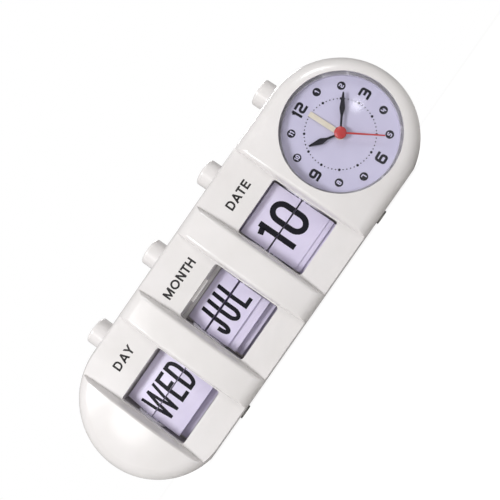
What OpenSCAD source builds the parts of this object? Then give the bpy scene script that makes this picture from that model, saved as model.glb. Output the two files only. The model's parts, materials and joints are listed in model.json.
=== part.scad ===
// Desk calendar alarm clock: a pill-shaped case with three flip-card windows for
// day, month and date, a round quartz alarm clock and four push buttons on top.
// X runs to the viewer's right, Y away from the viewer and Z up, with the table at Z = 0.

/* [Case] */
// Length of the case
body_len = 226; // [222:1:250]
// Radius of the round ends, half the case height
end_r = 38; // [37:0.5:42]
// Depth of the front housing, from the front to the parting line
front_depth = 32.5; // [32:0.5:36]
// Depth of the rear cover behind the parting line
rear_depth = 13.5; // [13:0.5:24]
// Wall thickness of both shells
wall = 2.2; // [1.8:0.1:2.6]
// Radius of the gentle crown across the front
crown_r = 200; // [150:10:400]
// Rounding of the front edge
front_round = 8; // [6:0.5:10]
// Rounding of the back edge
back_round = 3.5; // [2:0.5:4]
// How far the flat base cuts into the round section
base_cut = 0.8; // [0.4:0.1:1.2]
// Height of the rubber feet below the base
foot_h = 1; // [0.6:0.1:2]
// Radius of a rubber foot
foot_r = 3.5; // [2.5:0.1:5]
// Distance of the feet from the middle of the case
foot_x = 56; // [40:1:70]

/* [Channels and windows] */
// Distance between neighbouring units
pitch = 48; // [47:0.5:50]
// Depth of the channels below the front
channel_d = 5.6; // [5:0.1:6.5]
// Width of a channel at the front
channel_rim_w = 33.4; // [32:0.2:36]
// Width of a channel at its floor
channel_floor_w = 30.6; // [30:0.2:31.8]
// Rounding of the channel rims
rim_round = 2; // [0.6:0.1:2.4]
// Width of a window
window_w = 30; // [29.2:0.1:30.4]
// Height of a window
window_h = 36; // [35:0.2:37]
// Height of the window centres above the base
window_z = 32.6; // [32:0.1:33.2]
// Corner radius of a window
window_corner = 1.4; // [0.5:0.1:3]

/* [Flip cards] */
// Width of a card
card_w = 28.4; // [27:0.1:28.8]
// Thickness of a card
card_t = 0.15; // [0.1:0.01:0.18]
// Height of the three drum axles above the base
axle_up = 34.3; // [33.9:0.1:34.7]
// Depth of the resting flap pins behind the front
pin_depth = 10; // [9.8:0.1:11]
// Radius of a card's stub pins
stub_r = 0.45; // [0.35:0.05:0.5]
// Running gap round a stub pin
stub_gap = 0.1; // [0.05:0.01:0.12]
// Radius of the drum axles
axle_r = 1.5; // [1.2:0.1:1.6]
// Running gap of a drum on its axle
axle_gap = 0.05; // [0.02:0.01:0.1]
// Thickness of a drum disc
disc_t = 1.2; // [1:0.1:1.3]
// Thickness of the frame cheeks
cheek_t = 1.6; // [1.2:0.1:2]
// Thickness of the frame bars
bar_t = 1.8; // [1.4:0.1:2]

/* [Buttons] */
// Radius of a push button
button_r = 7; // [6.5:0.1:7.4]
// How far a button stands above the case
button_out = 8.6; // [6:0.1:10]
// Depth of the button axes behind the front
button_depth = 23; // [22:0.5:25]
// Gap round a button
button_gap = 0.3; // [0.15:0.05:0.5]
// Radius of a button stem
stem_r = 2; // [1.6:0.1:2.2]
// Running gap round a button stem
stem_gap = 0.08; // [0.04:0.01:0.1]
// Thickness of the button rail
rail_t = 2; // [1.6:0.1:2.4]
// Travel of the alarm button
alarm_travel = 2; // [1.5:0.1:2.5]
// Wire thickness of a button spring
spring_wire = 0.7; // [0.5:0.05:0.9]
// Turns of a button spring
spring_turns = 5; // [4:1:6]

/* [Clock] */
// Distance of the dial to the right of the round end's middle
dial_aside = 1.5; // [0:0.1:2]
// Radius of the dial opening
opening_r = 28.6; // [27.5:0.1:29]
// Depth of the lens seat behind the front
seat_depth = 3.4; // [3.2:0.1:3.6]
// Width of the seat round the opening
seat_w = 1.8; // [1.4:0.1:2]
// Thickness of the lens
lens_t = 1.2; // [1:0.1:1.3]
// Thickness of the dial
dial_t = 0.8; // [0.6:0.1:1]
// Length of the hour hand
hour_len = 15.6; // [12:0.2:17]
// Length of the minute hand
minute_len = 19.2; // [17:0.2:22]
// Length of the second hand
second_len = 20.3; // [17:0.1:22]
// Length of the alarm hand
alarm_len = 17.2; // [12:0.2:18]
// Thickness of the hands
hand_t = 0.35; // [0.25:0.05:0.4]
// Tooth module of the motion work
gear_m = 0.4; // [0.38:0.01:0.42]
// Half the width of the movement case
case_half = 20; // [19.5:0.1:20.4]
// Radius of the setting knobs
knob_r = 5; // [4:0.1:5.6]
// How far the setting knobs stand out of the back
knob_out = 4; // [3:0.2:8]

/* [Battery] */
// Diameter of the cell
cell_d = 14.2; // [13.8:0.1:14.5]
// Length of the cell with its button
cell_len = 50; // [48:0.1:50.5]
// Wall of the battery bay
bay_wall = 1.5; // [1.2:0.1:1.6]

/* [Hidden] */
$fn = 64;
white = "#f1f0ec";
card_white = "#dcdaea";
dark = "#2b2b2e";
steel = "#b9bbbd";
grey = "#8c8e90";
pale_rubber = "#d6d4cf";
over = 1;
slip = 0.1;
front_y = -(front_depth + rear_depth + 4) / 2;
part_y = front_y + front_depth;
back_y = part_y + rear_depth;
body_depth = front_depth + rear_depth;
base_z = foot_h;
mid_z = base_z - base_cut + end_r;
top_z = mid_z + end_r;
end_x = body_len / 2 - end_r;
clock_x = end_x + dial_aside;
inner_r = end_r - wall;
floor_back = channel_d + 2;
tray_half = channel_rim_w / 2 + wall;
win_z = base_z + window_z;
axle_z = base_z + axle_up;

// One row per flip unit: cards, pin circle radius, lean of the flap, turn of the drum past
// its detent, card length below and above the pin, inner and outer ratchet radius
DAY = [7, 6.5, 15, 0, 2.6, 13, 2.6, 4.6];
MONTH = [12, 9, 30, 16, 1.8, 10.5, 5.6, 7.6];
DATE = [31, 13, 2, 0, 0.9, 14.4, 12, 13.6];
function card_count(u) = u[0];
function pin_r(u) = u[1];
function flap_lean(u) = u[2];
function drum_turn(u) = u[3];
function card_tail(u) = u[4];
function card_free(u) = u[5];
function ratchet_in(u) = u[6];
function ratchet_r(u) = u[7];
function unit_x(i) = end_x - (3 - i) * pitch;
function step(u) = 360 / card_count(u);
function axle_depth(u) = pin_depth + pin_r(u) * cos(step(u) / 2);
function travel(u) = 2 * (ratchet_r(u) - 0.6) * sin(step(u) / 2);
half_card = card_w / 2;
disc_in = half_card + 0.5;
disc_out = disc_in + disc_t;
ratchet_out = disc_out + 1.5;
cheek_in = ratchet_out + 0.6;
cheek_left = disc_out + 0.6;
bar_top = win_z + window_h / 2 + 4.6;
bar_low = base_z + 5;
hood_d = 14;
hood_t = 1;
screen_d = 9.1;
tongue_w = 12.4;

rail_z = top_z - wall - 7;
cap_z = rail_z + max(travel(DAY), travel(MONTH), travel(DATE), alarm_travel) + 0.6;
button_top = top_z + button_out;
stem_y = front_y + button_depth;
beam_h = 2.6;
cap_wall = 1.3;
cap_top = 1.6;
cap_edge = 1.2;
pawl_t = 1.2;
beam_z = rail_z - rail_t - 0.2 - beam_h;
lip_h = 0.9;
lip_out = 2;
lip_t = 1.4;
lip_edge = 0.1;
seat_r = opening_r + seat_w;
ring_depth = seat_depth + 1.6;
dial_back = floor_back;
dial_depth = dial_back - dial_t;
lug_at = 23;
lug_t = 1.5;
lug_screw = 3;
lug_r = 5;
lug_boss_r = 2.8;
lug_screw_r = 0.75;
lug_head_r = 1.7;
lug_pilot_r = 0.8;
lug_hole_r = 0.9;
post_r = 3.2;
pilot_r = 1.15;
pilot_d = 14;
case_screw_r = 1.1;
case_screw_in = 7;
case_head_r = 2.5;
case_head_in = 3.4;
case_hole_r = 1.6;
case_bore_r = 3;
rail_post_r = 2.6;
rail_pilot_r = 0.9;
rail_pilot_d = 5;
rail_screw_r = 0.85;
rail_screw_in = 4;
rail_hole_r = 1.1;
rail_head_r = 2;
rail_head_h = 1.3;
slot_w = 0.5;
stake_r = 1;
stake_head_r = 1.7;
stake_head_h = 0.8;
stake_at = 11;
foot_in = 0.6;
gap_x = [unit_x(0) + pitch / 2 + 0.6, unit_x(1) + pitch / 2 + 0.6];
posts = [[gap_x[0], base_z + 11], [gap_x[0], top_z - 18], [gap_x[1], base_z + 11],
         [gap_x[1], top_z - 18], [-end_x - end_r + 10, mid_z], [clock_x + seat_r - 0.9, mid_z]];
rail_posts = [[gap_x[0], stem_y], [gap_x[1], stem_y], [unit_x(2) + pitch / 2 - 0.6, stem_y]];

base_back = dial_back + 7;
lid_back = base_back + 8;
// Directions from the hand centre to the setting arbors, at their gears' centre distances
minute_dir = 150;
alarm_dir = 30;
alarm_plane = dial_back + 2.2;
hour_plane = alarm_plane + 1.4;
minute_plane = hour_plane + 1.4;
second_plane = minute_plane + 2.2;
wheel_t = 0.8;
gear_tone = "#d9d4c4";
// Teeth of the motion work
cannon_teeth = 12;
minute_teeth = 36;
minute_pinion = 10;
hour_teeth = 40;
alarm_teeth = 40;
alarm_pinion_teeth = 16;
minute_at = (cannon_teeth + minute_teeth) / 2 * gear_m * [cos(minute_dir), sin(minute_dir)];
alarm_at = (alarm_teeth + alarm_pinion_teeth) / 2 * gear_m * [cos(alarm_dir), sin(alarm_dir)];
hour_m = gear_m * (cannon_teeth + minute_teeth) / (hour_teeth + minute_pinion);

bay_x = unit_x(2) + 21;
bay_len = cell_len + 2;
bay_h = cell_d + 1;
bay_z = mid_z - 21.8 + bay_wall;
bay_front = body_depth - wall - cell_d - 1.6;
bay_mid_x = bay_x + bay_wall + bay_len / 2;
cell_lift = 0.3;
cell_y = front_y + bay_front + cell_d / 2 + cell_lift;
door_t = 1.6;
door_gap = 0.25;
tab_w = 6;
tab_t = 1.2;
tab_at = 15;
grip_w = 10;
cell_button_d = 5.4;
cell_button_h = 1.4;
contact_t = 0.4;
contact_w = 10;
contact_coil_r = 4.5;
vents = 3;
vent_w = 1.6;
vent_h = 16;
vent_pitch = 4;
vent_at = 34;
grip_d = 0.5;

// Puts a shape drawn in X and Y upright, its back at a depth behind the front
module facing(x, depth, z) {
    translate([x, front_y + depth, z]) rotate([90, 0, 0]) children();
}

// A round bar along Y between two depths
module rod(x, z, from, to, r) {
    facing(x, to, z) cylinder(r = r, h = to - from);
}

// Half section of the crowned and rounded front, radius along X and depth along Y
module front_section(r, depth, crown, edge) {
    edge_x = r - edge;
    edge_y = crown - sqrt(pow(crown - edge, 2) - pow(edge_x, 2));
    meet_x = edge_x * crown / (crown - edge);
    union() {
        intersection() {
            translate([0, crown]) circle(crown, $fn = 720);
            square([meet_x, depth]);
        }
        translate([edge_x, edge_y]) circle(edge);
        translate([0, edge_y]) square([r, depth - edge_y]);
    }
}

// Half section of a plain rounded back edge, drawn from the parting line
module back_section(r, depth, edge) {
    union() {
        square([r - edge, depth]);
        square([r, depth - edge]);
        translate([r - edge, depth - edge]) circle(edge);
    }
}

// Sweeps a half section round the pill-shaped outline, starting at a depth
module pill(depth) {
    translate([0, front_y + depth, mid_z]) rotate([-90, 0, 0]) {
        for (side = [-1, 1])
            translate([side * end_x, 0, 0]) rotate([0, 0, -90 * side])
                rotate_extrude(angle = 180) children();
    }
    translate([-end_x, front_y + depth, mid_z]) rotate([0, 90, 0])
        linear_extrude(2 * end_x) {
            children();
            mirror([1, 0]) children();
        }
}

module below_base() {
    translate([-body_len, -body_len, base_z - body_len]) cube([2 * body_len, 2 * body_len, body_len]);
}

// Half of a channel's section, with its depth measured inwards from the crown
module half_channel() {
    half = channel_rim_w / 2;
    deep = channel_d + over;
    slope = (channel_rim_w - channel_floor_w) / (2 * channel_d);
    slant = sqrt(1 + slope * slope);
    round_at = half + rim_round * (slant - slope);
    meet_d = rim_round * (1 - slope / slant);
    difference() {
        polygon([[crown_r + over, -over], [crown_r + over, round_at], [crown_r, round_at],
                 [crown_r - meet_d, half - slope * meet_d], [crown_r - deep, half - slope * deep],
                 [crown_r - deep, -over]]);
        translate([crown_r - rim_round, round_at]) circle(rim_round);
    }
}

// Follows the crown with its rims and has a flat floor
module channel(x) {
    intersection() {
        translate([x, front_y + crown_r, mid_z]) rotate([0, 90, 0]) rotate_extrude($fn = 720) {
            half_channel();
            mirror([0, 1]) half_channel();
        }
        translate([x - pitch / 2, front_y - over, -over]) cube([pitch, channel_d + over, top_z + 2 * over]);
    }
}

module window(x) {
    w = window_w / 2 - window_corner;
    h = window_h / 2 - window_corner;
    facing(x, floor_back + over, win_z) {
        translate([-w, -window_h / 2, 0]) cube([2 * w, window_h, floor_back]);
        translate([-window_w / 2, -h, 0]) cube([window_w, 2 * h, floor_back]);
        for (a = [-w, w], b = [-h, h])
            translate([a, b, 0]) cylinder(r = window_corner, h = floor_back);
    }
}

module front_cavity() {
    difference() {
        intersection() {
            pill(wall) front_section(inner_r, front_depth, crown_r - wall, front_round - wall);
            translate([-body_len, front_y, base_z + wall - base_cut])
                cube([2 * body_len, front_depth + over, end_r * 2]);
        }
        for (i = [0 : 2])
            translate([unit_x(i) - tray_half, front_y - over, 0])
                cube([2 * tray_half, floor_back + over, top_z]);
        rod(clock_x, mid_z, -over, dial_back, seat_r + wall);
        for (p = posts) rod(p[0], p[1], -over, front_depth - slip, post_r);
        for (a = [-lug_at, lug_at], b = [-lug_at, lug_at])
            rod(clock_x + a, mid_z + b, -over, dial_back, lug_boss_r);
        for (p = rail_posts) translate([p[0], p[1], rail_z]) cylinder(r = rail_post_r, h = end_r);
        for (i = [0 : 2], p = stake_places(i)) {
            rod(p[0], p[1], floor_back - over, floor_back + bar_t + slip, stake_r);
            rod(p[0], p[1], floor_back + bar_t + slip, floor_back + bar_t + stake_head_h, stake_head_r);
        }
    }
}
function stake_places(i) = [for (s = [-stake_at, stake_at], z = [bar_low + 3.5, bar_top - 1.9])
    [unit_x(i) + s, z]];

module front_housing() {
    color(white) difference() {
        union() {
            difference() {
                pill(0) front_section(end_r, front_depth, crown_r, front_round);
                front_cavity();
            }
            for (i = [0 : 3])
                translate([unit_x(i), stem_y, top_z - wall]) cylinder(r = button_r + 1.6, h = wall + lip_h);
        }
        below_base();
        for (i = [0 : 2]) {
            channel(unit_x(i));
            window(unit_x(i));
        }
        for (i = [0 : 3])
            translate([unit_x(i), stem_y, cap_z - 5]) cylinder(r = button_r + button_gap, h = end_r);
        rod(clock_x, mid_z, -over, seat_depth + over, opening_r);
        rod(clock_x, mid_z, seat_depth, dial_back + over, seat_r);
        for (p = posts) rod(p[0], p[1], front_depth - pilot_d, front_depth + over, pilot_r);
        for (a = [-lug_at, lug_at], b = [-lug_at, lug_at])
            rod(clock_x + a, mid_z + b, dial_back - lug_screw - 0.4, dial_back + over, lug_pilot_r);
        for (p = rail_posts)
            translate([p[0], p[1], rail_z - over]) cylinder(r = rail_pilot_r, h = rail_pilot_d + over);
        foot_seats();
    }
}

module foot_seats() {
    for (p = foot_places)
        translate([p[0], p[1], base_z - over]) cylinder(r = foot_r + slip, h = foot_in + over);
}
foot_places = [for (s = [-1, 1], y = [front_y + 13, back_y - 6]) [s * foot_x, y]];

module feet() {
    color(pale_rubber) for (p = foot_places)
        translate([p[0], p[1], 0]) cylinder(r = foot_r, h = base_z + foot_in);
}

// A low rim on the rear cover that sits inside the front housing's wall
module locating_lip() {
    intersection() {
        difference() {
            union() {
                pill(front_depth - lip_out) back_section(inner_r - slip, 2 * lip_out, lip_edge);
                pill(front_depth) back_section(inner_r + slip, lip_out, lip_edge);
            }
            pill(front_depth - lip_out - over) back_section(inner_r - lip_t, 4 * lip_out, lip_edge);
        }
        translate([-body_len, front_y, base_z + wall - base_cut + slip])
            cube([2 * body_len, body_depth, rail_z - rail_t - base_z - wall]);
    }
}

module rear_cover() {
    bay_out = [bay_len + 2 * bay_wall, body_depth - bay_front + bay_wall, bay_h + 2 * bay_wall];
    color(white) difference() {
        union() {
            difference() {
                pill(front_depth) back_section(end_r, rear_depth, back_round);
                pill(front_depth - over) back_section(inner_r, rear_depth - wall + over, back_round - wall / 2);
            }
            locating_lip();
            for (p = posts) rod(p[0], p[1], front_depth + slip, body_depth - 1, post_r);
            translate([bay_x, front_y + bay_front - bay_wall, bay_z - bay_wall])
                cube([bay_out[0], bay_out[1] - 1, bay_out[2]]);
        }
        below_base();
        for (p = posts) {
            rod(p[0], p[1], front_depth - over, body_depth + over, case_hole_r);
            rod(p[0], p[1], body_depth - case_head_in, body_depth + over, case_bore_r);
        }
        translate([bay_x + bay_wall, front_y + bay_front, bay_z]) cube([bay_len, rear_depth * 2, bay_h]);
        for (s = [-tab_at, tab_at])
            translate([bay_mid_x + s - tab_w / 2 - 0.2, back_y - door_t - 2 - tab_t, bay_z - bay_wall - over])
                cube([tab_w + 0.4, tab_t + 1.3, bay_wall + 2 * over]);
        rod(clock_x + minute_at[0], mid_z + minute_at[1], front_depth, body_depth + over, 2);
        rod(clock_x + alarm_at[0], mid_z + alarm_at[1], front_depth, body_depth + over, 2);
        for (k = [-vents : vents])
            translate([bay_x - vent_at + k * vent_pitch - vent_w / 2, back_y - 2 * wall, mid_z - vent_h / 2])
                cube([vent_w, 4 * wall, vent_h]);
        foot_seats();
    }
}

// The door turns on its rounded lower edge, held by two tabs that reach under the cover
module battery_door() {
    door_w = bay_len - 2 * door_gap;
    hinge_z = bay_z + door_gap + door_t / 2;
    color(white) {
        difference() {
            union() {
                translate([bay_mid_x - door_w / 2, back_y - door_t, hinge_z])
                    cube([door_w, door_t, bay_z + bay_h - door_gap - hinge_z]);
                translate([bay_mid_x - door_w / 2, back_y - door_t / 2, hinge_z]) rotate([0, 90, 0])
                    cylinder(d = door_t, h = door_w);
            }
            for (k = [-2 : 2]) translate([bay_mid_x - grip_w / 2, back_y - grip_d, bay_z + bay_h - 6 + k])
                cube([grip_w, over, grip_d]);
        }
        for (s = [-tab_at, tab_at])
            translate([bay_mid_x + s - tab_w / 2, back_y - door_t - 1 - tab_t, bay_z - tab_t]) {
                cube([tab_w, tab_t, 2 * tab_t + 0.2]);
                translate([0, 0, tab_t + 0.4]) cube([tab_w, tab_t + 1 + door_t / 2, tab_t - 0.2]);
            }
    }
}

module battery_cell() {
    x0 = bay_x + bay_wall + 1;
    color("#3f6f52") translate([x0, cell_y, bay_z + bay_h / 2]) rotate([0, 90, 0]) {
        cylinder(d = cell_d, h = cell_len - cell_button_h);
        cylinder(d = cell_button_d, h = cell_len);
    }
}

module battery_contacts() {
    z = bay_z + bay_h / 2;
    color(steel) for (x = [bay_x + bay_wall, bay_x + bay_wall + bay_len - contact_t])
        translate([x, cell_y - contact_w / 2, z - contact_w / 2]) cube([contact_t, contact_w, contact_w]);
    color(steel) translate([bay_x + bay_wall, cell_y, z]) rotate([0, 90, 0]) difference() {
        cylinder(r = contact_coil_r, h = 0.95);
        translate([0, 0, contact_t]) cylinder(r = contact_coil_r - 0.8, h = over);
    }
}

module screw_y(x, z, depth, head_r, r, len) {
    rod(x, z, depth - len, depth, r);
    difference() {
        rod(x, z, depth, depth + head_r * 0.7, head_r);
        for (a = [0, 90]) facing(x, depth + head_r * 0.7 + over, z) rotate([0, 0, a])
            translate([-head_r * 0.6, -slot_w / 2, 0]) cube([head_r * 1.2, slot_w, over + head_r * 0.3]);
    }
}

module case_screws() {
    color(steel) for (p = posts)
        screw_y(p[0], p[1], body_depth - case_head_in, case_head_r, case_screw_r, rear_depth + case_screw_in);
}

module movement_screws() {
    color(steel) for (a = [-lug_at, lug_at], b = [-lug_at, lug_at])
        screw_y(clock_x + a, mid_z + b, dial_back + lug_t, lug_head_r, lug_screw_r, lug_t + lug_screw);
}

module button_rail() {
    x0 = unit_x(0) - 9;
    color(grey) difference() {
        translate([x0, stem_y - 8, rail_z - rail_t]) cube([unit_x(3) + 9 - x0, 15, rail_t]);
        for (i = [0 : 3]) translate([unit_x(i), stem_y, rail_z - 2 * rail_t])
            cylinder(r = stem_r + stem_gap, h = 3 * rail_t);
        for (p = rail_posts)
            translate([p[0], p[1], rail_z - 2 * rail_t]) cylinder(r = rail_hole_r, h = 3 * rail_t);
    }
}

module rail_screws() {
    color(steel) for (p = rail_posts) translate([p[0], p[1], rail_z - rail_t]) {
        cylinder(r = rail_screw_r, h = rail_t + rail_screw_in);
        translate([0, 0, -rail_head_h]) difference() {
            cylinder(r = rail_head_r, h = rail_head_h);
            for (a = [0, 90]) rotate([0, 0, a]) translate([-rail_head_r * 0.6, -slot_w / 2, -over])
                cube([rail_head_r * 1.2, slot_w, over + 0.6]);
        }
    }
}

// A hollow round cap on a stem, with rounded upper edge
module cap(x, stem_low) {
    translate([x, stem_y, 0]) {
        difference() {
            translate([0, 0, cap_z]) rotate_extrude() {
                square([button_r - cap_edge, button_top - cap_z]);
                square([button_r, button_top - cap_z - cap_edge]);
                translate([button_r - cap_edge, button_top - cap_z - cap_edge]) circle(cap_edge);
            }
            translate([0, 0, cap_z - over])
                cylinder(r = button_r - cap_wall, h = button_top - cap_z - cap_top + over);
        }
        translate([0, 0, stem_low]) cylinder(r = stem_r, h = button_top - 1 - stem_low);
    }
}

// A calendar button: cap, stem, beam under the rail and a hooked pawl for its ratchet
module flip_button(i, u) {
    x = unit_x(i);
    leg_in = axle_depth(u) - ratchet_r(u) - 0.3;
    tip_z = axle_z + ratchet_r(u) * sin(step(u) / 2) + 0.15;
    beam_x = disc_out + 0.2;
    color(white) {
        cap(x, beam_z);
        translate([x - stem_r - 0.5, stem_y - 2, beam_z]) cube([beam_x + pawl_t + stem_r + 0.5, 4, beam_h]);
        translate([x + beam_x, front_y + leg_in - 1, beam_z])
            cube([pawl_t, button_depth + 2 - leg_in + 1, beam_h]);
        translate([x + beam_x, front_y + leg_in - 1, tip_z]) cube([pawl_t, 1, beam_z + beam_h - tip_z]);
        translate([x + beam_x, front_y + leg_in - 1, tip_z]) cube([pawl_t, 2.1, 0.8]);
    }
}

module alarm_button() {
    color(white) {
        cap(unit_x(3), beam_z);
        translate([unit_x(3), stem_y, beam_z + beam_h - 1.4]) cylinder(r = 3.6, h = 1.4);
    }
}

// A compression spring as one unbroken wire, wound round a button stem
module button_spring(i) {
    r = (button_r - cap_wall + stem_r) / 2;
    h = button_top - cap_top - rail_z - spring_wire - 0.2;
    rings = spring_turns * 10;
    sides = 6;
    pts = [for (k = [0 : rings]) let (a = 360 * spring_turns * k / rings)
        for (s = [0 : sides - 1]) let (b = 360 * s / sides, q = r + spring_wire / 2 * cos(b))
            [q * cos(a), q * sin(a), spring_wire / 2 + 0.1 + h * k / rings + spring_wire / 2 * sin(b)]];
    faces = concat(
        [for (k = [0 : rings - 1], s = [0 : sides - 1]) let (n = (s + 1) % sides)
            each [[k * sides + s, k * sides + n, (k + 1) * sides + s],
                  [k * sides + n, (k + 1) * sides + n, (k + 1) * sides + s]]],
        [for (s = [1 : sides - 2]) [0, s + 1, s]],
        [for (s = [1 : sides - 2]) [rings * sides, rings * sides + s, rings * sides + s + 1]]);
    color(steel) translate([unit_x(i), stem_y, rail_z]) polyhedron(pts, faces);
}

// Moves to a drum's axle, with X along the axle
module on_axle(i, u) {
    translate([unit_x(i), front_y + axle_depth(u), axle_z]) children();
}

module along_x(x0, x1, r) {
    translate([x0, 0, 0]) rotate([0, 90, 0]) cylinder(r = r, h = x1 - x0);
}

// Two cheeks that carry the axle, tied by bars against the back of the front wall, with a hood over
// the cards and a screen below it that hides the inside of the case
module flip_frame(i, u, hood_z, tongue_z, screen_h) {
    deep = axle_depth(u) + 4 - floor_back;
    left = -cheek_left - cheek_t;
    color(white) difference() {
        translate([unit_x(i), front_y + floor_back, 0]) {
            for (x = [left, cheek_in]) {
                translate([x, 0, bar_low]) cube([cheek_t, deep, axle_z + 4 - bar_low]);
                translate([x, 0, axle_z]) cube([cheek_t, x < 0 ? hood_d : 5, bar_top + 2 - axle_z]);
            }
            translate([left, 0, bar_low]) cube([cheek_in + cheek_t - left, bar_t, 7]);
            translate([left, 0, bar_top - 4]) cube([disc_in + 0.6 - left, bar_t, 6]);
            translate([left, 0, hood_z]) cube([disc_in + 0.6 - left, hood_d, hood_t]);
            translate([left, screen_d, hood_z - screen_h])
                cube([disc_in + 0.6 - left, hood_t, screen_h + hood_t]);
            translate([-tongue_w / 2, 0, tongue_z]) cube([tongue_w, 1, bar_top - tongue_z]);
        }
        on_axle(i, u) along_x(left - over, cheek_in + cheek_t + over, axle_r + 0.02);
        for (p = stake_places(i))
            rod(p[0], p[1], floor_back - over, floor_back + bar_t + over, stake_r + slip);
    }
}

module flip_axle(i, u) {
    left = -cheek_left - cheek_t;
    right = cheek_in + cheek_t;
    color(steel) on_axle(i, u) {
        along_x(left - 0.2, right + 0.2, axle_r);
        along_x(left - 0.8, left, axle_r + 0.7);
        along_x(right, right + 0.8, axle_r + 0.7);
    }
}

function pin_angle(u, k) = drum_turn(u) + step(u) * (k + 0.5);
function lean(u, k) = min(flap_lean(u) + k * step(u), 180);

// Sets a card on its pin: card 0 is the resting flap and the others follow round the drum
module on_pin(i, u, k) {
    a = pin_angle(u, k);
    on_axle(i, u) translate([0, -pin_r(u) * cos(a), pin_r(u) * sin(a)])
        rotate([-lean(u, k), 0, 0]) children();
}

module card(u) {
    translate([-half_card, -card_t / 2, -card_tail(u)]) cube([card_w, card_t, card_tail(u) + card_free(u)]);
    ear = stub_r * 0.8;
    for (s = [-1, 1]) {
        translate([s * (half_card + 0.15) - 0.35, -card_t / 2, -ear]) cube([0.7, card_t, 2 * ear]);
        translate([s * (half_card + disc_out - 0.1) / 2, 0, 0])
            along_x(-(disc_out - 0.2 - half_card) / 2, (disc_out - 0.2 - half_card) / 2, stub_r);
    }
}

module flip_cards(i, u) {
    color(card_white) for (k = [1 : card_count(u) - 1]) on_pin(i, u, k) card(u);
}

module flap(i, u) {
    color(card_white) on_pin(i, u, 0) card(u);
}

// Two pierced discs on a tube, with a saw-toothed ratchet outside the right disc
module flip_drum(i, u) {
    half = step(u) / 2;
    teeth = [for (k = [0 : card_count(u) - 1]) each
        [for (q = [[ratchet_r(u), half + step(u) * k], [ratchet_in(u), half + step(u) * k + 0.01]])
            q[0] * [cos(q[1]), sin(q[1])]]];
    color(card_white) difference() {
        on_axle(i, u) {
            along_x(-disc_out, disc_out, axle_r + 0.9);
            for (x = [-disc_out, disc_in]) along_x(x, x + disc_t, pin_r(u) + 1.4);
            translate([disc_out - 0.01, 0, 0]) rotate([90, 0, 90]) mirror([1, 0])
                linear_extrude(ratchet_out - disc_out + 0.01) polygon(teeth);
        }
        on_axle(i, u) along_x(-disc_out - over, ratchet_out + over, axle_r + axle_gap);
        for (k = [0 : card_count(u) - 1]) on_pin(i, u, k)
            for (s = [-1, 1]) along_x(s > 0 ? disc_in - over / 4 : -disc_out - over,
                                      s > 0 ? disc_out + 0.02 : -disc_in + over / 4, stub_r + stub_gap);
    }
}

module lens() {
    edge_r = opening_r - 0.4;
    sag = 1.7;
    dome_r = (edge_r * edge_r + sag * sag) / (2 * sag);
    top = seat_depth - 0.8 - sag;
    color("#dfe6ee") translate([clock_x, front_y, mid_z]) rotate([-90, 0, 0]) {
        rotate_extrude() difference() {
            union() {
                intersection() {
                    translate([0, top + dome_r]) circle(dome_r, $fn = 720);
                    square([edge_r, seat_depth + 0.8]);
                }
                translate([0, seat_depth]) square([seat_r - 0.2, 1.6]);
            }
            intersection() {
                translate([0, top + lens_t + dome_r]) circle(dome_r, $fn = 720);
                square([edge_r - 1.4, ring_depth + over]);
            }
        }
    }
}

module dial_ring() {
    color(white) difference() {
        rod(clock_x, mid_z, ring_depth, dial_depth, seat_r - 0.2);
        rod(clock_x, mid_z, ring_depth - over, dial_depth + over, opening_r - 1.2);
    }
}

// Pipes of the four hands, from the second arbor outwards: inner and outer radii
pipe = [[0, 0.4], [0.5, 0.9], [1, 1.5], [1.6, 2.3]];
pipe_gap = 0.05;

module dial() {
    color(card_white) difference() {
        rod(clock_x, mid_z, dial_depth, dial_back, seat_r - 0.2);
        rod(clock_x, mid_z, dial_depth - over, dial_back + over, pipe[3][1] + 0.15);
    }
}

// Shown time, in degrees clockwise from twelve
hour_angle = 303.5;
minute_angle = 59.5;
second_angle = 150;
alarm_angle = 359.5;
hand_gap = 0.85;
// Radii of the hands' hubs, and widths of the leaves and the alarm hand's bar
hour_hub = 2.1;
minute_hub = 1.6;
alarm_hub = 2.8;
second_hub = 2.9;
hour_leaf = 2.9;
minute_leaf = 2.6;
alarm_bar = 2.5;
alarm_hand_at = dial_depth - 0.5;
hour_hand_at = alarm_hand_at - hand_gap;
minute_hand_at = hour_hand_at - hand_gap;
second_hand_at = minute_hand_at - hand_gap;

module hand(depth, clockwise, tone, hub_r, bore_r) {
    color(tone) facing(clock_x, depth, mid_z) rotate([0, 0, -clockwise]) difference() {
        union() {
            linear_extrude(hand_t) children();
            cylinder(r = hub_r, h = hand_t);
        }
        translate([0, 0, -over]) cylinder(r = bore_r + 0.02, h = hand_t + 2 * over);
    }
}

// A slim hand that swells to a leaf on its way out
module leaf(len, leaf_w) {
    polygon([[-0.45, 0], [0.45, 0], [0.55, len * 0.42], [leaf_w / 2, len * 0.6],
             [leaf_w / 2 - 0.1, len * 0.66], [0.35, len], [-0.35, len], [0.1 - leaf_w / 2, len * 0.66],
             [-leaf_w / 2, len * 0.6], [-0.55, len * 0.42]]);
}

module hour_hand() {
    hand(hour_hand_at, hour_angle, dark, hour_hub, pipe[2][1]) leaf(hour_len, hour_leaf);
}

module minute_hand() {
    hand(minute_hand_at, minute_angle, dark, minute_hub, pipe[1][1]) leaf(minute_len, minute_leaf);
}

module alarm_hand() {
    hand(alarm_hand_at, alarm_angle, "#ecdfb4", alarm_hub, pipe[3][1])
        translate([-alarm_bar / 2, 0]) square([alarm_bar, alarm_len]);
}

module second_hand() {
    hand(second_hand_at, second_angle, "#d8352c", second_hub, pipe[0][1])
        polygon([[-0.45, 0], [0.45, 0], [0.3, second_len], [-0.3, second_len]]);
}

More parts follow.
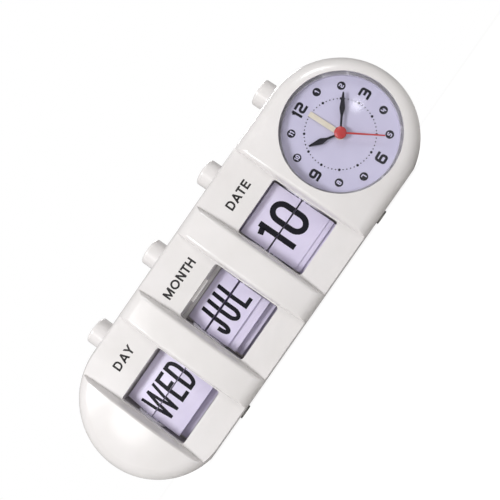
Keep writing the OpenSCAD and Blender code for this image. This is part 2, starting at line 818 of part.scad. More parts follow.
// A spur wheel with plain tapered teeth, its back at a depth
module spur(x, z, back, teeth, m, t, turn) {
    rp = teeth * m / 2;
    a = 360 / teeth;
    pts = [for (k = [0 : teeth - 1]) each
        [for (q = [[rp - 1.2 * m, -0.3], [rp + 0.85 * m, -0.11], [rp + 0.85 * m, 0.11], [rp - 1.2 * m, 0.3]])
            q[0] * [cos(a * (k + q[1]) + turn), sin(a * (k + q[1]) + turn)]]];
    facing(x, back, z) linear_extrude(t) polygon(pts);
}

// A wheel on a pipe that carries a hand at its front end
module hand_wheel(back, teeth, m, hand_front, p, turn) {
    difference() {
        union() {
            spur(clock_x, mid_z, back + wheel_t, teeth, m, wheel_t, turn);
            rod(clock_x, mid_z, hand_front, back + wheel_t, p[1]);
        }
        rod(clock_x, mid_z, hand_front - over, back + wheel_t + over, p[0]);
    }
}

module alarm_wheel() {
    color(gear_tone) hand_wheel(alarm_plane, alarm_teeth, gear_m, alarm_hand_at - hand_t, pipe[3], alarm_dir);
}

module hour_wheel() {
    color(gear_tone) hand_wheel(hour_plane, hour_teeth, hour_m, hour_hand_at - hand_t, pipe[2], minute_dir);
}

module cannon_pinion() {
    color(gear_tone)
        hand_wheel(minute_plane, cannon_teeth, gear_m, minute_hand_at - hand_t, pipe[1], minute_dir);
}

module second_wheel() {
    color(gear_tone) {
        spur(clock_x, mid_z, second_plane + wheel_t, 60, 0.25, wheel_t, 0);
        rod(clock_x, mid_z, second_hand_at - hand_t - 0.6, lid_back - 2.2, pipe[0][1]);
    }
}

arbor_r = 1;
module minute_wheel() {
    x = clock_x + minute_at[0];
    z = mid_z + minute_at[1];
    color(gear_tone) {
        spur(x, z, minute_plane + wheel_t, minute_teeth, gear_m, wheel_t,
             minute_dir + 180 + 180 / minute_teeth);
        spur(x, z, hour_plane + wheel_t, minute_pinion, hour_m, wheel_t,
             minute_dir + 180 + 180 / minute_pinion);
        rod(x, z, dial_back + 0.3, body_depth + 1, arbor_r);
    }
}

module alarm_pinion() {
    x = clock_x + alarm_at[0];
    z = mid_z + alarm_at[1];
    color(gear_tone) {
        spur(x, z, alarm_plane + wheel_t, alarm_pinion_teeth, gear_m, wheel_t,
             alarm_dir + 180 + 180 / alarm_pinion_teeth);
        rod(x, z, dial_back + 0.3, body_depth + 1, arbor_r);
    }
}

module setting_knob(at) {
    x = clock_x + at[0];
    z = mid_z + at[1];
    color(grey) difference() {
        union() {
            rod(x, z, body_depth + 0.3, body_depth + knob_out, knob_r - 0.5);
            for (k = [0 : 23]) facing(x, body_depth + knob_out - 0.3, z) rotate([0, 0, k * 15])
                translate([knob_r - 1, -0.3, 0]) cube([1, 0.6, knob_out - 0.9]);
        }
        rod(x, z, body_depth, body_depth + 1.02, arbor_r);
    }
}

module time_knob() {
    setting_knob(minute_at);
}

module alarm_knob() {
    setting_knob(alarm_at);
}

module shell_box(from, to, open_back) {
    w = 1.5;
    facing(clock_x, to, mid_z) difference() {
        translate([-case_half, -case_half, 0]) cube([2 * case_half, 2 * case_half, to - from]);
        translate([-case_half + w, -case_half + w, open_back ? -over : w])
            cube([2 * case_half - 2 * w, 2 * case_half - 2 * w, to - from - w + over]);
    }
}

module movement_base() {
    color(grey) difference() {
        union() {
            shell_box(dial_back, base_back, true);
            for (a = [-lug_at, lug_at], b = [-lug_at, lug_at]) intersection() {
                rod(clock_x + a, mid_z + b, dial_back, dial_back + lug_t, lug_r);
                rod(end_x, mid_z, dial_back, dial_back + lug_t, inner_r - 0.8);
            }
        }
        rod(clock_x, mid_z, dial_back - over, base_back, pipe[3][1] + pipe_gap);
        for (at = [minute_at, alarm_at])
            rod(clock_x + at[0], mid_z + at[1], dial_back + 0.2, base_back, arbor_r + pipe_gap);
        for (a = [-lug_at, lug_at], b = [-lug_at, lug_at])
            rod(clock_x + a, mid_z + b, dial_back - over, base_back, lug_hole_r);
    }
}

module movement_lid() {
    color(grey) difference() {
        shell_box(base_back, lid_back, false);
        for (at = [minute_at, alarm_at])
            rod(clock_x + at[0], mid_z + at[1], base_back, lid_back + over, arbor_r + pipe_gap);
        rod(clock_x, mid_z, lid_back - 2.5, lid_back - 0.8, pipe[0][1] + pipe_gap);
    }
}

board_at = lid_back - 2.4;
module circuit_board() {
    color("#2f6b45") translate([clock_x - 17, front_y + board_at - 1, mid_z - 17.5]) cube([34, 1, 11]);
}

module motor_coil() {
    color("#b5703c") translate([clock_x - 9, front_y + board_at - 4.2, mid_z - 12]) rotate([0, 90, 0]) {
        cylinder(r = 1.2, h = 18);
        translate([0, 0, 3]) cylinder(r = 3, h = 12);
    }
}

module sounder() {
    color("#c9a24a") rod(clock_x, mid_z + 9, board_at + 0.2, board_at + 0.9, 6.5);
}

module alarm_switch() {
    z = mid_z + case_half;
    color(dark) translate([unit_x(3), stem_y, z]) {
        translate([-4, -8.5, 0]) cube([8, 6, 1]);
        translate([-2, -8.5, 0]) cube([4, 10.5, 1]);
        cylinder(r = 1.6, h = beam_z - alarm_travel - 0.2 - z);
    }
}

front_housing();
rear_cover();
battery_door();
feet();
case_screws();
button_rail();
rail_screws();
flip_button(0, DAY);  // day_button
flip_button(1, MONTH);  // month_button
flip_button(2, DATE);  // date_button
alarm_button();
button_spring(0);  // day_spring
button_spring(1);  // month_spring
button_spring(2);  // date_spring
button_spring(3);  // alarm_spring
flip_frame(0, DAY, bar_top - 4.7, bar_top - 4, 0);  // day_frame
flip_frame(1, MONTH, bar_top - 4.7, win_z + window_h / 2 - 1.6, 2);  // month_frame
flip_frame(2, DATE, bar_top + 0.4, bar_top - 4, 0);  // date_frame
flip_axle(0, DAY);  // day_axle
flip_axle(1, MONTH);  // month_axle
flip_axle(2, DATE);  // date_axle
flip_drum(0, DAY);  // day_drum
flip_drum(1, MONTH);  // month_drum
flip_drum(2, DATE);  // date_drum
flip_cards(0, DAY);  // day_cards
flip_cards(1, MONTH);  // month_cards
flip_cards(2, DATE);  // date_cards
flap(0, DAY);  // day_flap
flap(1, MONTH);  // month_flap
flap(2, DATE);  // date_flap
lens();
dial_ring();
dial();
hour_hand();
minute_hand();
second_hand();
alarm_hand();
movement_base();
movement_lid();
movement_screws();
alarm_wheel();
hour_wheel();
cannon_pinion();
second_wheel();
minute_wheel();
alarm_pinion();
time_knob();
alarm_knob();
circuit_board();
motor_coil();
sounder();
alarm_switch();
battery_cell();
battery_contacts();
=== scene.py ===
import bpy
import json
import math
from mathutils import Matrix, Vector


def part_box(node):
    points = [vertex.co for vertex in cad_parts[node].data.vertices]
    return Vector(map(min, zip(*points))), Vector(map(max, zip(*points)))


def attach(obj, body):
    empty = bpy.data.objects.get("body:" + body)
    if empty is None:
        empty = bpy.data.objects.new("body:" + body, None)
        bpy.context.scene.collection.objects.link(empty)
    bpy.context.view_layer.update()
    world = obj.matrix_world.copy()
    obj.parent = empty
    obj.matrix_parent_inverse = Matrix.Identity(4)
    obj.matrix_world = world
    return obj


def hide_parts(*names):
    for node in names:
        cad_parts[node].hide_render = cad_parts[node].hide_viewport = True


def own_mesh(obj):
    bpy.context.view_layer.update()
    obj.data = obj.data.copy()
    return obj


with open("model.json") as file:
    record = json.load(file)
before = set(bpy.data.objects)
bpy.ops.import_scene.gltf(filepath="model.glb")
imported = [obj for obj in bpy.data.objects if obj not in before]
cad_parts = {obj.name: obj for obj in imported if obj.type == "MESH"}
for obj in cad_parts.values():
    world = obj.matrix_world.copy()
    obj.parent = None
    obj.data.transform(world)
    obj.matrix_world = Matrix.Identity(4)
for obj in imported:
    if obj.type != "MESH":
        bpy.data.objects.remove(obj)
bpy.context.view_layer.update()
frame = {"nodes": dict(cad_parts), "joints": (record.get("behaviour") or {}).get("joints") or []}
nodes = frame["nodes"]
joints = {joint["name"]: joint for joint in frame["joints"]}
mm = 0.001


# Camera, turned about its own axis as the photograph is

photoCamera = {
    "place": (16.08, -324.24, 11.48),  # mm in the clock's frame, just above the table
    "yaw": -1.46,
    "pitch": -5.68,
    "roll": -55.1,
    "lens": 47.31,
    "sensor": 36.0,
    "near": 0.01,  # m, nothing closer is drawn
}


def addCamera(view):
    turn = Matrix.Rotation(math.radians(-view["yaw"]), 3, "Z")
    turn = turn @ Matrix.Rotation(math.radians(-view["pitch"]), 3, "X")
    turn = turn @ Matrix.Rotation(math.radians(-view["roll"]), 3, "Y")
    turn = turn @ Matrix.Rotation(math.radians(90), 3, "X")  # from looking down to looking along Y
    bpy.ops.object.camera_add(location=Vector(view["place"]) * mm, rotation=turn.to_euler())
    camera = bpy.context.object
    camera.data.sensor_width = view["sensor"]
    camera.data.lens = view["lens"]
    camera.data.clip_start = view["near"]
    bpy.context.scene.camera = camera


bpy.ops.object.select_all(action="DESELECT")
addCamera(photoCamera)
bpy.context.scene.view_settings.view_transform = "Standard"
print("camera set")


# Node helpers

def linear(hexColour):
    parts = [int(hexColour[i:i + 2], 16) / 255 for i in (1, 3, 5)]
    return tuple(c / 12.92 if c <= 0.04045 else ((c + 0.055) / 1.055) ** 2.4 for c in parts) + (1.0,)


def addNode(tree, kind, inputs=None, **settings):
    node = tree.nodes.new(kind)
    for name, value in settings.items():
        setattr(node, name, value)
    for name, value in (inputs or {}).items():
        if isinstance(value, bpy.types.NodeSocket):
            tree.links.new(value, node.inputs[name])
        else:
            node.inputs[name].default_value = value
    return node


def newMaterial(name):
    material = bpy.data.materials.new(name)
    material.use_nodes = True
    material.node_tree.nodes.clear()
    return material, material.node_tree


def perMetre(sizeInMm):
    return 1 / (sizeInMm * mm)  # a noise scale that gives features of this size


noiseSpan = (0.3, 0.7)  # nearly all of the noise lies between these


def shadedNoise(tree, coords, size, low, high, detail=3.0):
    noise = addNode(tree, "ShaderNodeTexNoise", {"Vector": coords, "Scale": perMetre(size), "Detail": detail})
    spread = addNode(tree, "ShaderNodeMapRange", {
        "Value": noise.outputs["Fac"], "From Min": noiseSpan[0], "From Max": noiseSpan[1],
        "To Min": low, "To Max": high})
    return spread.outputs["Result"]


# A surface finish with two near tones, a roughness that wanders and a fine relief

def solidFinish(name, look):
    material, tree = newMaterial(name)
    coords = addNode(tree, "ShaderNodeTexCoord").outputs["Object"]
    patch = shadedNoise(tree, coords, look["patch"], 0.0, 1.0)
    tone = addNode(tree, "ShaderNodeMix", {"Factor": patch}, data_type="RGBA")
    tone.inputs[6].default_value = linear(look["tones"][0])
    tone.inputs[7].default_value = linear(look["tones"][1])
    rough = shadedNoise(tree, coords, look["patch"] / 2, *look["rough"])
    relief = shadedNoise(tree, coords, look["grain"], 0.0, 1.0, detail=2.0)
    bump = addNode(tree, "ShaderNodeBump", {"Strength": look["bump"], "Distance": look["depth"] * mm,
                                            "Height": relief})
    shader = addNode(tree, "ShaderNodeBsdfPrincipled", {
        "Base Color": tone.outputs[2], "Roughness": rough, "Normal": bump.outputs["Normal"],
        "Metallic": look.get("metallic", 0.0), "IOR": look.get("ior", 1.5),
        "Specular IOR Level": look.get("shine", 0.5),
        "Coat Weight": look.get("coat", 0.0), "Coat Roughness": look.get("coatRough", 0.1)})
    surface = shader.outputs[0]
    if "glow" in look:  # thin walls let some light through
        through = addNode(tree, "ShaderNodeBsdfTranslucent", {"Color": tone.outputs[2]})
        both = addNode(tree, "ShaderNodeMixShader", {"Fac": look["glow"]})
        tree.links.new(shader.outputs[0], both.inputs[1])
        tree.links.new(through.outputs[0], both.inputs[2])
        surface = both.outputs[0]
    addNode(tree, "ShaderNodeOutputMaterial", {"Surface": surface})
    return material


finishes = {
    # Injection-moulded ABS, polished tool: soft gloss and a faint orange peel
    "whiteAbs": {"tones": ("#ebe8e7", "#efecec"), "patch": 18, "rough": (0.2, 0.27), "grain": 1.6,
                 "bump": 0.05, "depth": 0.05, "ior": 1.53, "coat": 0.25, "coatRough": 0.08, "glow": 0.14},
    # Moulded thermoplastic rubber: pale, matt, slightly dusty
    "rubber": {"tones": ("#cfcdc8", "#d9d7d2"), "patch": 2, "rough": (0.75, 0.9), "grain": 0.3,
               "bump": 0.3, "depth": 0.05},
    # Zinc-plated steel screws and axles: cool grey with a fine drawn grain
    "platedSteel": {"tones": ("#b9babd", "#cdced0"), "patch": 3, "rough": (0.22, 0.34), "grain": 0.35,
                    "bump": 0.1, "depth": 0.02, "metallic": 1.0},
    # Hard-drawn spring wire, oil-dark
    "springWire": {"tones": ("#8e8f92", "#a7a8ab"), "patch": 2, "rough": (0.25, 0.36), "grain": 0.25,
                   "bump": 0.12, "depth": 0.02, "metallic": 1.0},
    # Moulded acetal of the hidden movement shell: pale grey, waxy
    "greyAcetal": {"tones": ("#b4b6b8", "#c0c2c4"), "patch": 9, "rough": (0.38, 0.48), "grain": 0.7,
                   "bump": 0.12, "depth": 0.04},
    # Drum of pale polystyrene, fairly dull so that it stays behind the cards
    "paleStyrene": {"tones": ("#e2dfe9", "#e9e6ef"), "patch": 7, "rough": (0.42, 0.55), "grain": 0.6,
                    "bump": 0.15, "depth": 0.04},
    # Calendered PVC card: pale lavender white with a silky surface and a slow ripple
    "flipCard": {"tones": ("#e6dff5", "#ece6f9"), "patch": 14, "rough": (0.38, 0.46), "grain": 6.0,
                 "bump": 0.06, "depth": 0.15, "ior": 1.54, "glow": 0.3},
    # Coated paper dial, lavender white, with a faint tooth
    "dialPaper": {"tones": ("#d0ccda", "#d7d3e0"), "patch": 11, "rough": (0.5, 0.6), "grain": 0.4,
                  "bump": 0.12, "depth": 0.02},
    # Screen-printing ink, nearly black with a blue cast, slightly raised and silky
    "blackInk": {"tones": ("#0d0c14", "#16151f"), "patch": 3, "rough": (0.5, 0.62), "grain": 0.3,
                 "bump": 0.1, "depth": 0.01, "shine": 0.15},
    # Thinner grey-black ink of the channel words
    "greyInk": {"tones": ("#2a2829", "#343233"), "patch": 2.5, "rough": (0.5, 0.62), "grain": 0.25,
                "bump": 0.12, "depth": 0.01, "shine": 0.15},
    # Pale ink of the figures inside the black discs
    "paleInk": {"tones": ("#d9d5e6", "#e6e2f0"), "patch": 2, "rough": (0.45, 0.55), "grain": 0.25,
                "bump": 0.1, "depth": 0.01},
    # Stamped aluminium hands in black lacquer, a soft sheen
    "blackLacquer": {"tones": ("#100e16", "#1a1822"), "patch": 4, "rough": (0.32, 0.42), "grain": 0.4,
                     "bump": 0.08, "depth": 0.015, "shine": 0.2},
    # Red lacquer of the second hand and its cap
    "redLacquer": {"tones": ("#c0302b", "#cd3b33"), "patch": 3, "rough": (0.28, 0.38), "grain": 0.4,
                   "bump": 0.08, "depth": 0.015, "coat": 0.2},
    # Cream lacquer of the alarm hand
    "creamLacquer": {"tones": ("#e6ddbd", "#ede5c8"), "patch": 4, "rough": (0.32, 0.42), "grain": 0.4,
                     "bump": 0.08, "depth": 0.015},
    # Acetal gears, milky
    "gearAcetal": {"tones": ("#dcdad2", "#e6e4dd"), "patch": 4, "rough": (0.35, 0.45), "grain": 0.5,
                   "bump": 0.1, "depth": 0.03},
    # Glass-fibre laminate under green solder mask
    "circuitLaminate": {"tones": ("#1f5a34", "#2a6b3f"), "patch": 3, "rough": (0.3, 0.42), "grain": 0.35,
                        "bump": 0.2, "depth": 0.02},
    # Enamelled copper winding
    "copperEnamel": {"tones": ("#a85f33", "#bb7040"), "patch": 1.2, "rough": (0.25, 0.35), "grain": 0.2,
                     "bump": 0.4, "depth": 0.03, "metallic": 0.9},
    # Brass sounder
    "brass": {"tones": ("#b8944c", "#c8a55c"), "patch": 3, "rough": (0.25, 0.36), "grain": 0.4,
              "bump": 0.1, "depth": 0.02, "metallic": 1.0},
    # Shrink film round the cell
    "cellFilm": {"tones": ("#3f6f8f", "#4a7c9c"), "patch": 6, "rough": (0.22, 0.32), "grain": 1.2,
                 "bump": 0.08, "depth": 0.03, "coat": 0.3},
}
materials = {name: solidFinish(name, look) for name, look in finishes.items()}


# Moulded acrylic lens: clear, no colour, mirrors a little more at a slant

lensLook = {"clear": "#fbfbff", "rough": (0.09, 0.12), "patch": 12, "mirror": (0.04, 0.6), "slant": 5.0}


def clearAcrylic(look):
    material, tree = newMaterial("clearAcrylic")
    coords = addNode(tree, "ShaderNodeTexCoord").outputs["Object"]
    rough = shadedNoise(tree, coords, look["patch"], *look["rough"])
    through = addNode(tree, "ShaderNodeBsdfTransparent", {"Color": linear(look["clear"])})
    mirror = addNode(tree, "ShaderNodeBsdfGlossy", {"Roughness": rough})
    facing = addNode(tree, "ShaderNodeLayerWeight").outputs["Facing"]
    slant = addNode(tree, "ShaderNodeMath", {0: facing, 1: look["slant"]}, operation="POWER")
    edge = addNode(tree, "ShaderNodeMapRange", {"Value": slant.outputs[0], "To Min": look["mirror"][0],
                                                "To Max": look["mirror"][1]})
    both = addNode(tree, "ShaderNodeMixShader", {"Fac": edge.outputs[0]})
    tree.links.new(through.outputs[0], both.inputs[1])
    tree.links.new(mirror.outputs[0], both.inputs[2])
    addNode(tree, "ShaderNodeOutputMaterial", {"Surface": both.outputs[0]})
    return material


materials["clearAcrylic"] = clearAcrylic(lensLook)

nodeFinish = {
    "front_housing": "whiteAbs", "rear_cover": "whiteAbs", "battery_door": "whiteAbs",
    "feet": "rubber", "case_screws": "platedSteel", "button_rail": "whiteAbs", "rail_screws": "platedSteel",
    "lens": "clearAcrylic", "dial": "dialPaper", "dial_ring": "whiteAbs",
    "hour_hand": "blackLacquer", "minute_hand": "blackLacquer",
    "second_hand": "redLacquer", "alarm_hand": "creamLacquer",
    "battery_cell": "cellFilm", "battery_contacts": "platedSteel",
    "circuit_board": "circuitLaminate", "motor_coil": "copperEnamel", "sounder": "brass",
}
partFinish = {
    "button": "whiteAbs", "spring": "springWire", "frame": "whiteAbs", "axle": "platedSteel",
    "drum": "paleStyrene", "cards": "flipCard", "flap": "flipCard", "screws": "platedSteel",
    "wheel": "gearAcetal", "pinion": "gearAcetal", "knob": "greyAcetal",
}


def finishOf(name):
    return nodeFinish.get(name) or partFinish.get(name.split("_")[-1], "greyAcetal")


for name, node in nodes.items():
    node.data.materials.clear()
    node.data.materials.append(materials[finishOf(name)])
print("finishes on", len(nodes), "nodes,", len(materials), "materials")


# Modelling helpers

smoothAngle = math.radians(40)  # edges sharper than this stay sharp


def selectOnly(piece):
    bpy.ops.object.select_all(action="DESELECT")
    piece.select_set(True)
    bpy.context.view_layer.objects.active = piece


def settle(piece):
    selectOnly(piece)  # puts the piece's place, turn and size into its mesh
    bpy.ops.object.transform_apply(location=True, rotation=True, scale=True)


def meshBox(piece):
    low = Vector([min(v.co[i] for v in piece.data.vertices) for i in range(3)])
    high = Vector([max(v.co[i] for v in piece.data.vertices) for i in range(3)])
    return low, high


def shift(piece, by):
    piece.location = by
    settle(piece)


def hingeAbout(piece, pin, degrees):
    shift(piece, -pin)
    piece.rotation_euler = (math.radians(degrees), 0, 0)
    settle(piece)
    shift(piece, pin)


def copyPiece(piece, name):
    selectOnly(piece)
    bpy.ops.object.duplicate()
    copy = bpy.context.object
    copy.name = name
    return copy


def joinPieces(pieces, name):
    bpy.ops.object.select_all(action="DESELECT")
    for piece in pieces:
        piece.select_set(True)
    bpy.context.view_layer.objects.active = pieces[0]
    if len(pieces) > 1:
        bpy.ops.object.join()
    joined = bpy.context.object
    joined.name = name
    return joined


def finishPiece(piece, finish, body):
    piece.data.materials.clear()
    piece.data.materials.append(materials[finish])
    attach(piece, body)
    return piece


def cutAt(piece, level, keepUpper):
    selectOnly(piece)
    bpy.ops.object.mode_set(mode="EDIT")
    bpy.ops.mesh.select_all(action="SELECT")
    bpy.ops.mesh.bisect(plane_co=(0, 0, level), plane_no=(0, 0, 1), use_fill=True,
                        clear_inner=keepUpper, clear_outer=not keepUpper)
    bpy.ops.object.mode_set(mode="OBJECT")
    return piece


# Printed characters: strokes of even width in the X-Z plane that face the viewer, each described by
# the middle lines of its strokes in a box of a given width, height and stroke

ink = {
    "thick": 0.04,  # mm
    "arcSteps": 12,
    "least": 1e-4,  # mm, points closer than this count as one
    "leastMitre": 0.12,  # keeps a sharp corner from running far out
}


def arc(cx, cy, rx, ry, start, end):
    steps = ink["arcSteps"]
    angles = [math.radians(start + (end - start) * i / steps) for i in range(steps + 1)]
    return [(cx + rx * math.cos(angle), cy + ry * math.sin(angle)) for angle in angles]


def squareTurns(points, radius, closed=False):
    rounded = []
    for i, point in enumerate(points):
        if not closed and i in (0, len(points) - 1):
            rounded.append(point)
            continue
        here = Vector(point)
        back = (Vector(points[i - 1]) - here).normalized() * radius
        on = (Vector(points[(i + 1) % len(points)]) - here).normalized() * radius
        for k in range(ink["arcSteps"] // 2 + 1):
            turn = math.pi / 2 * k / (ink["arcSteps"] // 2)
            rounded.append(tuple(here + back * (1 - math.sin(turn)) + on * (1 - math.cos(turn))))
    return rounded


def outrun(points, far):
    head, tail = Vector(points[0]), Vector(points[-1])
    head += (head - Vector(points[1])).normalized() * far
    tail += (tail - Vector(points[-2])).normalized() * far
    return [tuple(head)] + points[1:-1] + [tuple(tail)]


def letterStrokes(letter, w, h, s):
    l, r, b, t = s / 2, w - s / 2, s / 2, h - s / 2
    bowl = (w - s) * 0.55
    slant = s * 0.56
    return {
        "A": [(outrun([(slant, 0), (w / 2, h - s * 0.2), (w - slant, 0)], s), False),
              ([(w * 0.24, h * 0.28), (w * 0.76, h * 0.28)], False)],
        "D": [([(l, b), (l, t)] + arc(r - bowl, t - h * 0.36, bowl, h * 0.36, 90, 0)
               + arc(r - bowl, b + h * 0.36, bowl, h * 0.36, 0, -90), True)],
        "E": [([(w, t), (l, t), (l, b), (w, b)], False), ([(s, h * 0.53), (w * 0.93, h * 0.53)], False)],
        "G": [(arc(w / 2, t - h * 0.3, r - w / 2, h * 0.3, 20, 180)
               + arc(w / 2, b + h * 0.3, r - w / 2, h * 0.3, 180, 360)
               + [(r, h * 0.46), (w * 0.55, h * 0.46)], False)],
        "H": [([(l, 0), (l, h)], False), ([(r, 0), (r, h)], False),
              ([(s, h * 0.52), (w - s, h * 0.52)], False)],
        "J": [([(r, h)] + arc(w / 2, b + h * 0.2, r - w / 2, h * 0.2, 0, -180) + [(l, b + h * 0.27)], False)],
        "L": [([(l, h), (l, b), (w, b)], False)],
        "M": [([(l, 0), (l, h), (w / 2, s * 0.6), (r, h), (r, 0)], False)],
        "N": [([(l, 0), (l, h), (r, 0), (r, h)], False)],
        "O": [(arc(w / 2, h / 2, w / 2 - l, h / 2 - b, 0, 180)[:-1]
               + arc(w / 2, h / 2, w / 2 - l, h / 2 - b, 180, 360)[:-1], True)],
        "T": [([(0, t), (w, t)], False), ([(w / 2, h - s), (w / 2, 0)], False)],
        "U": [([(l, h)] + arc(w / 2, b + h * 0.2, r - w / 2, h * 0.2, 180, 360) + [(r, h)], False)],
        "W": [(outrun([(slant, h), (w * 0.28, 0), (w / 2, h), (w * 0.72, 0), (w - slant, h)], s), False)],
        "Y": [(outrun([(slant, h), (w / 2, h * 0.44), (w - slant, h)], s), False),
              ([(w / 2, h * 0.46), (w / 2, 0)], False)],
        "0": [(arc(w / 2, t - h * 0.24, r - w / 2, h * 0.24, 0, 180)
               + arc(w / 2, b + h * 0.24, r - w / 2, h * 0.24, 180, 360), True)],
        "1": [([(r, 0), (r, h)], False), ([(w - s * 0.8, h - s * 0.88), (0, h - s * 1.15)], False)],
        "2": [(squareTurns([(0, t), (r, t), (r, h * 0.5), (l, h * 0.5), (l, b), (w, b)], s * 0.7), False)],
        "3": [(squareTurns([(0, t), (r, t), (r, b), (0, b)], s * 0.7), False),
              ([(w * 0.25, h * 0.5), (w - s, h * 0.5)], False)],
        "4": [(squareTurns([(l, h), (l, h * 0.4), (w, h * 0.4)], s * 0.5), False),
              ([(w * 0.7, 0), (w * 0.7, h * 0.75)], False)],
        "5": [(squareTurns([(w, t), (l, t), (l, h * 0.5), (r, h * 0.5), (r, b), (0, b)], s * 0.7),
               False)],
        "6": [(squareTurns([(w, t), (l, t), (l, b), (r, b), (r, h * 0.55), (s, h * 0.55)], s * 0.7),
               False)],
        "7": [(squareTurns([(0, t), (r, t), (r, 0)], s * 0.7), False)],
        "8": [(squareTurns([(l, b), (l, t), (r, t), (r, b)], s * 0.7, True), True),
              ([(s, h * 0.52), (w - s, h * 0.52)], False)],
        "9": [(squareTurns([(0, b), (r, b), (r, t), (l, t), (l, h * 0.45), (w - s, h * 0.45)], s * 0.7),
               False)],
    }[letter]


def strokeSides(points, closed, stroke):
    sides = []
    for i, point in enumerate(points):
        here = Vector(point)
        runs = []
        if closed or i > 0:
            runs.append((here - Vector(points[i - 1])).normalized())
        if closed or i < len(points) - 1:
            runs.append((Vector(points[(i + 1) % len(points)]) - here).normalized())
        normals = [Vector((-run.y, run.x)) for run in runs]
        mitre = sum(normals, Vector((0, 0))).normalized()
        reach = stroke / 2 / max(mitre.dot(normals[0]), ink["leastMitre"])
        sides.append((here + mitre * reach, here - mitre * reach))
    return sides


def strokeMesh(name, strokes, stroke):
    corners, faces = [], []
    for points, closed in strokes:
        points = [p for i, p in enumerate(points)
                  if i == 0 or (Vector(p) - Vector(points[i - 1])).length > ink["least"]]
        first = len(corners)
        for left, right in strokeSides(points, closed, stroke):
            corners += [(left.x * mm, 0, left.y * mm), (right.x * mm, 0, right.y * mm)]
        count = len(points)
        for i in range(count if closed else count - 1):
            a, b = first + 2 * i, first + 2 * ((i + 1) % count)
            faces.append((a, a + 1, b + 1, b))
    mesh = bpy.data.meshes.new(name)
    mesh.from_pydata(corners, [], faces)
    piece = bpy.data.objects.new(name, mesh)
    bpy.context.scene.collection.objects.link(piece)
    return piece


def raiseInk(piece, thick):
    selectOnly(piece)
    bpy.ops.object.mode_set(mode="EDIT")
    bpy.ops.mesh.select_all(action="SELECT")
    bpy.ops.mesh.extrude_region_move(TRANSFORM_OT_translate={"value": (0, -thick * mm, 0)})
    bpy.ops.mesh.select_all(action="SELECT")
    bpy.ops.mesh.normals_make_consistent(inside=False)
    bpy.ops.object.mode_set(mode="OBJECT")
    return piece


# A word from (character, left edge, width, share of the stroke) in mm, trimmed flush at its foot and head,
# with its middle at X = 0, its foot at Z = 0 and its back at Y = 0

def printedWord(name, letters, height, stroke):
    pieces = []
    for i, (letter, left, width, *slim) in enumerate(letters):
        line = stroke * (slim[0] if slim else 1)
        piece = strokeMesh(name + str(i), letterStrokes(letter, width, height, line), line)
        cutAt(piece, 0, True)
        cutAt(piece, height * mm, False)
        shift(piece, Vector((left * mm, 0, 0)))
        pieces.append(piece)
    word = joinPieces(pieces, name)
    low, high = meshBox(word)
    shift(word, Vector((-(low.x + high.x) / 2, 0, 0)))
    return raiseInk(word, ink["thick"])


# Words on the channel floors

# Letters with their left edge and width, in mm
channelWords = {
    "day": {"letters": (("D", 0, 3.7), ("A", 4.5, 4.3), ("Y", 8.9, 4.1)), "aside": 1.4, "z": 59.6},
    "month": {"letters": (("M", 0, 4.5), ("O", 5.2, 4.6), ("N", 10.5, 3.6), ("T", 14.5, 3.4), ("H", 18.2, 3.6)),
              "aside": -0.8, "z": 59.3},
    "date": {"letters": (("D", 0, 3.7), ("A", 4.2, 4.2), ("T", 8.5, 3.2), ("E", 12.3, 3.1)),
             "aside": -0.8, "z": 58.9},
}
channelType = {"height": 4.6, "stroke": 0.92, "depth": 5.6}  # mm, depth of the floor behind the front
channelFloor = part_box("front_housing")[0].y + channelType["depth"] * mm

for unit, look in channelWords.items():
    word = printedWord(unit + "Word", look["letters"], channelType["height"], channelType["stroke"])
    unitX = joints[unit + "_roll_turn"]["pos_m"][0]
    shift(word, Vector((unitX + look["aside"] * mm, channelFloor, look["z"] * mm)))
    finishPiece(word, "greyInk", "case")
print("channel words printed")


# Words on the flip cards: each is cut at the split, the upper half on the flap and the lower half on
# the card that hangs below, and the next word waits behind on the following card and the flap's back

# Letters with their left edge and width and the heights above and below the split in mm, lean in degrees
cardWords = {
    "day": {"now": ("Wed", (("W", 0, 10.6, 0.75), ("E", 11.6, 5.7), ("D", 18.5, 6.6))),
            "next": ("Thu", (("T", 0, 7.2), ("H", 8.6, 6.8), ("U", 17.2, 6.8))),
            "lean": 15, "tail": 2.6, "above": 9.0, "below": 7.9, "aside": 0.7, "stroke": 1.95},
    "month": {"now": ("Jul", (("J", 0, 4.9), ("U", 7.4, 6.3), ("L", 15.9, 5.6))),
              "next": ("Aug", (("A", 0, 7.2), ("U", 8.2, 6.4), ("G", 16.0, 6.6))),
              "lean": 30, "tail": 1.8, "above": 8.4, "below": 9.6, "aside": 0.1, "stroke": 2.0},
    "date": {"now": ("Ten", (("1", 0, 5.6), ("0", 8.7, 11.0))),
             "next": ("Eleven", (("1", 0, 5.6), ("1", 9.4, 5.6))),
             "lean": 2, "tail": 0.9, "above": 10.1, "below": 9.4, "aside": -0.3, "stroke": 2.85},
}
cardThick = 0.15  # mm


